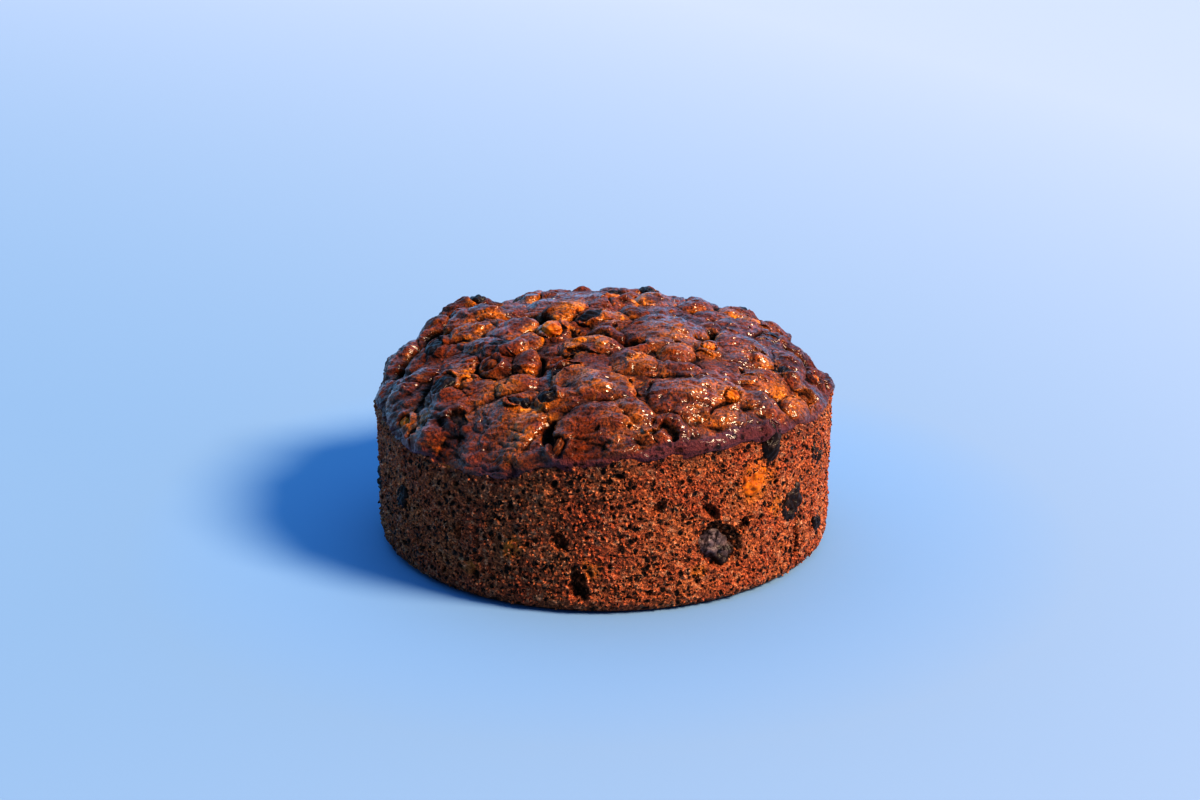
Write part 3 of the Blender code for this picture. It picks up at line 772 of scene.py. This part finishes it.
# Places where thin skin over fruit shows the fruit's amber, as (x, y, radius), in mm.
AMBER_PLACES = (
    (-18, -9, 7),
    (0, -45, 10),
    (11, -32, 7),
    (24, -17, 9),
    (-22, -58, 9),
    (8, -64, 8),
    (33, -53, 10),
    (-44, -29, 5),
    (40, -47, 6),
    (33, -20, 5),
    (62, -31, 6),
    (50, -20, 7),
    (-5, -23, 6),
    (-42, 2, 6),
    (-14, 12, 8),
    (2, 4, 6),
    (55, -36, 8),
    (-33, -41, 7),
    (-62, -37, 5),
    (48, 24, 7),
    (10, 30, 8),
)
# Dents that the large folds have, as (x, y, radius, depth), in mm.
DENTS = (
    (-38, -52, 5, 2.0),
    (-30, -58, 7, 1.6),
    (-23, -51, 4, 1.8),
    (-36, -63, 5, 1.4),
    (-10, -44, 4, 1.2),
    (3, -48, 3.5, 1.2),
    (20, -44, 4, 1.0),
    (38, -50, 4, 1.4),
)
# Places where the syrup still stands and shines, as (x, y, radius), in mm.
WET_PLACES = (
    (-19, -63, 8),
    (9, -63, 9),
    (31, -50, 11),
    (43, -40, 8),
    (-2, -52, 8),
    (45, -17, 7),
    (24, -5, 8),
    (-40, -55, 7),
    (-58, -38, 7),
    (-20, 34, 9),
    (30, 40, 9),
)


def crust_profile():
    """The way down from crown to shoulder as arrays: distance along it, share of the radius, rise."""
    angle = np.linspace(0.0, math.pi / 2, 400)
    share = np.sin(angle)
    rise = np.clip(1.0 - share**DOME_POWER, 0.0, 1.0) ** (1.0 / SHOULDER_POWER)
    step = np.hypot(np.diff(share) * CAKE_RADIUS, np.diff(rise) * (CROWN_HEIGHT - MEAN_RIM_HEIGHT))
    return np.concatenate([[0.0], np.cumsum(step)]), share, rise


def round_spot(x, y, middle_x, middle_y, radius):
    """1 in the middle of a round spot, which is given in mm, and fading past its radius."""
    away = (x - middle_x * MM) ** 2 + (y - middle_y * MM) ** 2
    return np.exp(-(away / (radius * MM) ** 2))


def near_spots(x, y, spots):
    """How near each place is to the closest of the spots, from 0 to 1."""
    nearest = np.zeros_like(x)
    for spot in spots:
        nearest = np.maximum(nearest, round_spot(x, y, *spot))
    return nearest


def fold_creases(x, y):
    """How close a place is to the line where two folds meet, from 0 to 1."""
    first = np.zeros_like(x)
    second = np.zeros_like(x)
    for top in rounded_tops(*wandered(x, y), crust_folds()):
        second = np.maximum(second, np.minimum(first, top))
        first = np.maximum(first, top)
    return np.exp(-(((first - second) / (0.4 * MM)) ** 2)) * smooth((second - 0.6 * MM) / (1.6 * MM))


def blurred(values, reach):
    """The mean of a grid of values over the square round each one."""
    across = 2 * reach + 1
    total = np.pad(np.cumsum(np.cumsum(np.pad(values, reach, mode="edge"), 0), 1), ((1, 0), (1, 0)))
    columns = total[across:] - total[:-across]
    return (columns[:, across:] - columns[:, :-across]) / across**2


def sunken(values, reach, depth):
    """Where a grid of heights lies lower than its surroundings, from 0 to 1."""
    side = CRUST_GRID + 1
    heights = values.reshape(side, side)
    return smooth((blurred(heights, reach) - heights).ravel() / depth)


crust_finish, tree, shader = new_material("crust")
place = add_node(tree, "ShaderNodeTexCoord").outputs["Object"]
skin = add_node(tree, "ShaderNodeGroup", node_tree=grain_group)
skin.inputs["Size"].default_value = 1.5 * MM
stain = cloudy(tree, place, 130.0, 4.0, 0.6)
painted_crease_shade = mask_socket(tree, "painted_crease_shade")
edge = mask_socket(tree, "edge")
body = mixed(tree, ranged(tree, stain, 0.35, 0.68), CRUST_DARK, CRUST_LIGHT)
glow = mixed(tree, mask_socket(tree, "amber_and_painted_glow"), body, CRUST_AMBER_AND_GLOW)
# Painted shade in the creases and low places.
crease_shaded = mixed(tree, painted_crease_shade, glow, CREASE_PAINTED_SHADE)
grainy = ranged(tree, skin.outputs["Grain"], 0.0, 1.0, 0.22, 1.4)
mottled = mixed(tree, 1.0, crease_shaded, grainy, blend_type="MULTIPLY")
# The edge band is darker brown with a painted purple sheen.
edged = mixed(tree, edge, mottled, EDGE_BROWN_AND_SHEEN)
# Painted shade in the pores along the crust's edge.
edge_pore_shade = worked_out(tree, "MULTIPLY", edge, skin.outputs["Pores"])
tree.links.new(mixed(tree, edge_pore_shade, edged, EDGE_PORE_SHADE), shader.inputs["Base Color"])
tree.links.new(ranged(tree, stain, 0.0, 1.0, 0.26, 0.48), shader.inputs["Roughness"])
dry = worked_out(tree, "SUBTRACT", 1.0, painted_crease_shade, use_clamp=True)
tree.links.new(worked_out(tree, "MULTIPLY", mask_socket(tree, "glaze"), dry), shader.inputs["Coat Weight"])
shader.inputs["Coat Roughness"].default_value = 0.17
shader.inputs["Coat IOR"].default_value = 1.5
shader.inputs["Sheen Weight"].default_value = 0.07
shader.inputs["Sheen Roughness"].default_value = 0.4
shader.inputs["Sheen Tint"].default_value = (0.85, 0.74, 1.0, 1.0)
shader.inputs["Specular IOR Level"].default_value = 0.15
shader.inputs["Specular Tint"].default_value = (1.0, 0.62, 0.38, 1.0)
bump = add_node(
    tree, "ShaderNodeBump", {"Strength": 1.0, "Distance": 0.46 * MM, "Height": skin.outputs["Grain"]}
)
tree.links.new(bump.outputs[0], shader.inputs["Normal"])
drawn_out = add_node(tree, "ShaderNodeVectorMath", {0: place, 1: (0.5, 1.0, 1.0)}, operation="MULTIPLY")
syrup = cloudy(tree, drawn_out.outputs[0], 560.0, 1.5)
glossy_bump = add_node(tree, "ShaderNodeBump", {"Strength": 1.0, "Distance": 0.75 * MM, "Height": syrup})
tree.links.new(glossy_bump.outputs[0], shader.inputs["Coat Normal"])

bm = bmesh.new()
bmesh.ops.create_grid(bm, x_segments=CRUST_GRID, y_segments=CRUST_GRID, size=1.0)
crust = link_mesh("crust", bm, crust_finish)
square = read_points(crust.data)
wide = np.abs(square[:, 0]) > np.abs(square[:, 1])
ring = np.where(wide, square[:, 0], square[:, 1])
other = np.where(wide, square[:, 1], square[:, 0])
slant = math.pi / 4 * other / np.where(ring == 0.0, 1.0, ring)
around = np.where(wide, slant, math.pi / 2 - slant)
around = np.where(ring < 0.0, around + math.pi, around)
bearing = around + math.pi / 2
bearing = (bearing + math.pi) % math.tau - math.pi
along, share_of, rise_of = crust_profile()
round_edge = np.stack([np.sin(bearing), np.cos(bearing), 0 * bearing], 1)
hang = EDGE_HANG + 1.5 * MM * noise_at(round_edge, 0.09, 61)
travel = np.abs(ring) * (along[-1] + hang)
share = np.interp(travel, along, share_of)
rise = np.interp(travel, along, rise_of)
drop = np.clip(travel - along[-1], 0.0, None)
rim = rim_height(bearing)
hanging_level = 1.0 - (1.0 - BASE_EDGE_RADIUS) * drop / (rim - BASE_EDGE_RADIUS)
level = np.where(drop > 0.0, hanging_level, 1.0 + rise)
points = cake_surface(share * CAKE_RADIUS, level, bearing)
write_points(crust.data, points)
outward = read_points(crust.data, "normal")
if outward[np.argmax(points[:, 2]), 2] < 0.0:
    crust.data.flip_normals()
    outward = -outward

x = share * CAKE_RADIUS * np.sin(bearing)
y = -share * CAKE_RADIUS * np.cos(bearing)
wx, wy = wandered(x, y)
torn = tear_depth(wx, wy)
folded = crust_relief(x, y)
over_edge = np.clip(drop / hang, 0.0, 1.0)
creases = fold_creases(x, y) * (1.0 - over_edge)
creases *= 0.25 + 0.75 * smooth(0.5 + 1.2 * noise_at(points, 11 * MM, 78))
strayed = points + 1.3 * MM * np.stack([noise_at(points, 5 * MM, salt) for salt in (68, 69, 70)], 1)
stretched = strayed * np.array([0.5, 0.8, 2.0])
main_wrinkles = np.abs(noise_at(stretched, 4.2 * MM, 62))
fine_wrinkles = np.abs(noise_at(stretched, 1.9 * MM, 63))
ridges = 1.0 - np.abs(noise_at(strayed * np.array([0.45, 1.0, 1.6]), 2.6 * MM, 76))
detail = WRINKLE_HEIGHT * main_wrinkles + FINE_WRINKLE_HEIGHT * fine_wrinkles
detail += SWELL_HEIGHT * noise_at(points, 7 * MM, 64) - WRINKLE_HEIGHT / 2
detail += RIDGE_HEIGHT * ridges**3
detail -= KNOB_FLATTENING * (blended_highest(wx, wy, crust_knobs()) - KNOB_MEAN)
turned = np.degrees(bearing)
inner = BAND_INNER - BAND_WIDENING * smooth((turned - 2.0) / 18.0) + 0.012 * noise_at(points, 6 * MM, 77)
band_ends = smooth((turned - BAND_ENDS[0]) / 10.0) * smooth((BAND_ENDS[1] - turned) / 14.0)
band = smooth((share - inner) / 0.025) * band_ends
detail *= 1.0 - 0.6 * band
detail += (0.3 * share**8 * (1.0 - band) - 0.4 * band) * (folded - 2.2 * MM)
for middle_x, middle_y, radius, depth in DENTS:
    detail -= depth * MM * round_spot(x, y, middle_x, middle_y, radius)
shining = near_spots(x, y, WET_PLACES)
ripples = noise_at(points * np.array([0.6, 1.0, 1.0]), 1.7 * MM, 79)
detail += RIPPLE_HEIGHT * (0.25 + shining) * ripples
pebbles = depth_in_balls(strayed, *PEBBLES, 75)
pocks = depth_in_balls(strayed, *POCKS, 71)
detail += (0.25 * pebbles - CREASE_DEPTH * creases - pocks) * (1.0 - 0.8 * band)
fruit_trees = []
for name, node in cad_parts.items():
    if name != "cake":
        fruit_bm = bmesh.new()
        fruit_bm.from_mesh(node.data)
        bmesh.ops.remove_doubles(fruit_bm, verts=fruit_bm.verts, dist=1e-5)
        fruit_trees.append((BVHTree.FromBMesh(fruit_bm), *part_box(name)))
        fruit_bm.free()
gap = np.full(len(points), 9 * MM)
for fruit, low, high in fruit_trees:
    near = np.all((points > np.array(low) - 3 * MM) & (points < np.array(high) + 3 * MM), axis=1)
    for i in np.flatnonzero(near):
        spot, facing, _, away = fruit.find_nearest(Vector(points[i]))
        inside = (Vector(points[i]) - spot).dot(facing) < 0.0
        gap[i] = min(gap[i], -away if inside else away)
creep = 0.5 + 0.5 * noise_at(points, 3.4 * MM, 72)
collar = (0.6 + 1.7 * creep) * MM * np.exp(-(((gap - 0.5 * MM) / (1.15 * MM)) ** 2))
moat = 0.3 * MM * smooth((0.5 * MM - gap) / (0.5 * MM)) * smooth((0.5 - creep) / 0.2)
detail += collar - moat - 0.25 * torn + 0.55 * hollow_depth(x, y)
tucked = smooth((over_edge - 0.45 + 0.3 * noise_at(points, 3.0 * MM, 73)) / 0.4)
to_edge = along[-1] - travel
last_part = smooth((3 * MM - to_edge) / (4 * MM))
detail = detail * (1.0 - 0.5 * over_edge) - EDGE_TUCK * tucked - EDGE_THINNING * last_part
points += outward * detail[:, None]
write_points(crust.data, points)
# Painted shade: creases, wrinkle valleys, low places, pocks, tears and the line beside each fruit are
# darkened.
valleys = smooth(1.0 - main_wrinkles / 0.16)
beside_fruit = smooth((0.4 * MM - gap) / (0.6 * MM)) * smooth((0.8 - creep) / 0.3)
pit_shade = smooth(pocks / (0.8 * MM)) + 0.8 * beside_fruit
relief = folded + detail
low_places = 0.7 * sunken(relief, 5, 0.6 * MM) + 0.8 * sunken(relief, 19, 2.2 * MM)
crease_shade_lines = (0.7 * creases + 0.25 * valleys + low_places) * (1.0 - 0.6 * band) * (1.0 - 0.5 * shining)
write_mask(crust.data, "painted_crease_shade", crease_shade_lines + pit_shade + smooth(torn / (3.5 * MM)))
edge_line = to_edge - 2.5 * MM * noise_at(points, 7 * MM, 74)
write_mask(crust.data, "edge", np.maximum(0.8 * band, smooth((3 * MM - edge_line) / (4 * MM))))
dome_facing = np.column_stack([0.5 * points[:, :2] / CAKE_RADIUS, np.ones(len(points))])
steep = 1.0 - np.clip((outward * dome_facing).sum(1), 0.0, 1.0)
# The amber is painted stronger on steep slopes: a painted glow standing in for light through the thin
# skin.
sloping = smooth((steep - 0.05) / 0.35)
amber_spots = near_spots(x, y, AMBER_PLACES) * smooth(0.65 + 0.8 * noise_at(points, 4 * MM, 65))
patchy = smooth(0.5 + 0.9 * noise_at(points, 5 * MM, 66))
amber_and_painted_glow = amber_spots * (0.5 + 0.55 * sloping) + 0.45 * patchy * sloping
write_mask(crust.data, "amber_and_painted_glow", amber_and_painted_glow * (1.0 - band))
syrupy = 1.2 * shining + 0.6 + 0.6 * noise_at(points, 9 * MM, 67)
write_mask(crust.data, "glaze", syrupy - 0.6 * over_edge - 0.55 * band)
for sector in in_sectors(crust, CRUST_SECTORS):
    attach(sector, "root")
    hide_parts("cake")

# Raisins
# Dark dried grapes, shrivelled into sharp folds, seated in the sockets of crust and wall. Their skin
# is nearly black, with a greyish bloom on the folds.
FRUIT_CUTS = 5
RAISIN_DARK = (0.018, 0.008, 0.005, 1)
RAISIN_BLOOM = (0.090, 0.048, 0.036, 1)
RAISIN_DUST = (0.20, 0.13, 0.125, 1)
WALL_FRUIT_REACH = 66 * MM
WALL_FRUIT_TOP = 42 * MM
WALL_FRUIT_GROWTH = 0.8 * MM


def fine_fruit(kind, finish, rounds, sink, folds, fold_depth, wrinkle):
    """All the fruit of one kind as one piece: each solid subdivided, rounded and wrinkled."""
    names = sorted(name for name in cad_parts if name.startswith(kind))
    joined = bmesh.new()
    for number, name in enumerate(names):
        one = bmesh.new()
        one.from_mesh(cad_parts[name].data)
        bmesh.ops.remove_doubles(one, verts=one.verts, dist=1e-5)
        bmesh.ops.subdivide_edges(one, edges=one.edges[:], cuts=FRUIT_CUTS, use_grid_fill=True)
        for _ in range(rounds):
            bmesh.ops.smooth_vert(
                one, verts=one.verts, factor=0.5, use_axis_x=True, use_axis_y=True, use_axis_z=True
            )
        one.normal_update()
        spots = np.array([vert.co for vert in one.verts])
        facing = np.array([vert.normal for vert in one.verts])
        middle = spots.mean(0)
        axes = np.linalg.eigh(np.cov((spots - middle).T))[1]
        inner = (spots - middle) @ axes
        turn = np.arctan2(inner[:, 0], inner[:, 1])
        lean = 5.0 * inner[:, 2] / np.abs(inner[:, 2]).max()
        wave = np.sin(folds * turn + lean + number + 1.6 * noise_at(spots, 3 * MM, 81))
        push = fold_depth * (np.abs(wave) ** 0.7 - 0.5)
        push -= wrinkle * np.abs(noise_at(spots, 1.5 * MM, 82))
        push += 0.8 * MM * noise_at(spots, 4 * MM, 83)
        if math.hypot(middle[0], middle[1]) > WALL_FRUIT_REACH and middle[2] < WALL_FRUIT_TOP:
            bearing = np.arctan2(spots[:, 0], -spots[:, 1])
            open_share = smooth(hole_depth(bearing, spots[:, 2]) / (3 * MM))
            ragged = WALL_FRUIT_GROWTH * (1.0 + 1.2 * noise_at(spots, 2.8 * MM, 84) - 1.3 * open_share)
            spots += facing * (0.6 * push + ragged)[:, None]
            crumbled = 0.9 * MM * noise_at(spots, 1.4 * MM, 85) + 0.9 * push
            outermost = CAKE_RADIUS + 0.3 * MM + np.minimum(crumbled, 0.5 * MM) - 1.2 * MM * open_share
            spots[:, :2] *= np.minimum(1.0, outermost / np.hypot(spots[:, 0], spots[:, 1]))[:, None]
        else:
            spots += facing * (push - sink)[:, None]
        for vert, spot in zip(one.verts, spots):
            vert.co = spot
        piece = bpy.data.meshes.new(name + "_fine")
        one.to_mesh(piece)
        one.free()
        joined.from_mesh(piece)
        bpy.data.meshes.remove(piece)
    made = link_mesh(kind + "_fruit", joined, finish)
    spots = read_points(made.data)
    dusty = smooth(hole_depth(np.arctan2(spots[:, 0], -spots[:, 1]), spots[:, 2]) / (2.5 * MM))
    dusty *= smooth(0.6 + 1.3 * noise_at(spots, 5 * MM, 86))
    write_mask(made.data, "dust", dusty * (np.hypot(spots[:, 0], spots[:, 1]) > WALL_FRUIT_REACH))
    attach(made, "root")
    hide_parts(*names)


raisin_finish, tree, shader = new_material("raisin_skin")
place = add_node(tree, "ShaderNodeTexCoord").outputs["Object"]
bloom = cloudy(tree, place, 520.0, 4.0, 0.7)
bloomed = mixed(tree, ranged(tree, bloom, 0.5, 0.8), RAISIN_DARK, RAISIN_BLOOM)
dusted = worked_out(tree, "MULTIPLY", mask_socket(tree, "dust"), ranged(tree, bloom, 0.42, 0.62))
tree.links.new(mixed(tree, dusted, bloomed, RAISIN_DUST), shader.inputs["Base Color"])
tree.links.new(ranged(tree, bloom, 0.0, 1.0, 0.22, 0.6), shader.inputs["Roughness"])
shader.inputs["Specular IOR Level"].default_value = 0.12
shader.inputs["Coat Weight"].default_value = 0.2
shader.inputs["Coat Roughness"].default_value = 0.15
bump = add_node(tree, "ShaderNodeBump", {"Strength": 0.8, "Distance": 0.5 * MM, "Height": bloom})
tree.links.new(bump.outputs[0], shader.inputs["Normal"])
tree.links.new(bump.outputs[0], shader.inputs["Coat Normal"])
fine_fruit("raisin", raisin_finish, 4, -0.5 * MM, 3.0, 0.5 * MM, 0.7 * MM)

# Sultanas and candied peel
# Plump brown sultanas and diced orange peel, soaked with syrup, so that they are glossy. The peel
# keeps the flat sides of its dice.
SULTANA_DARK = (0.06, 0.014, 0.005, 1)
SULTANA_LIGHT = (0.24, 0.060, 0.012, 1)
PEEL_DARK = (0.26, 0.045, 0.006, 1)
PEEL_LIGHT = (0.88, 0.250, 0.012, 1)


def syrup_finish(name, deep, pale):
    """A glossy fruit finish between two colours."""
    made, tree, shader = new_material(name)
    place = add_node(tree, "ShaderNodeTexCoord").outputs["Object"]
    cloud = cloudy(tree, place, 420.0, 4.0, 0.65)
    tree.links.new(mixed(tree, ranged(tree, cloud, 0.35, 0.7), deep, pale), shader.inputs["Base Color"])
    shader.inputs["Roughness"].default_value = 0.32
    shader.inputs["Specular IOR Level"].default_value = 0.1
    shader.inputs["Coat Weight"].default_value = 0.15
    shader.inputs["Coat Roughness"].default_value = 0.1
    bump = add_node(tree, "ShaderNodeBump", {"Strength": 0.3, "Distance": 0.4 * MM, "Height": cloud})
    tree.links.new(bump.outputs[0], shader.inputs["Normal"])
    tree.links.new(bump.outputs[0], shader.inputs["Coat Normal"])
    return made


sultana_finish = syrup_finish("sultana_skin", SULTANA_DARK, SULTANA_LIGHT)
fine_fruit("sultana", sultana_finish, 4, 0.8 * MM, 3.0, 0.5 * MM, 0.3 * MM)
peel_finish = syrup_finish("candied_peel", PEEL_DARK, PEEL_LIGHT)
fine_fruit("peel", peel_finish, 2, 0.5 * MM, 2.0, 0.4 * MM, 0.6 * MM)
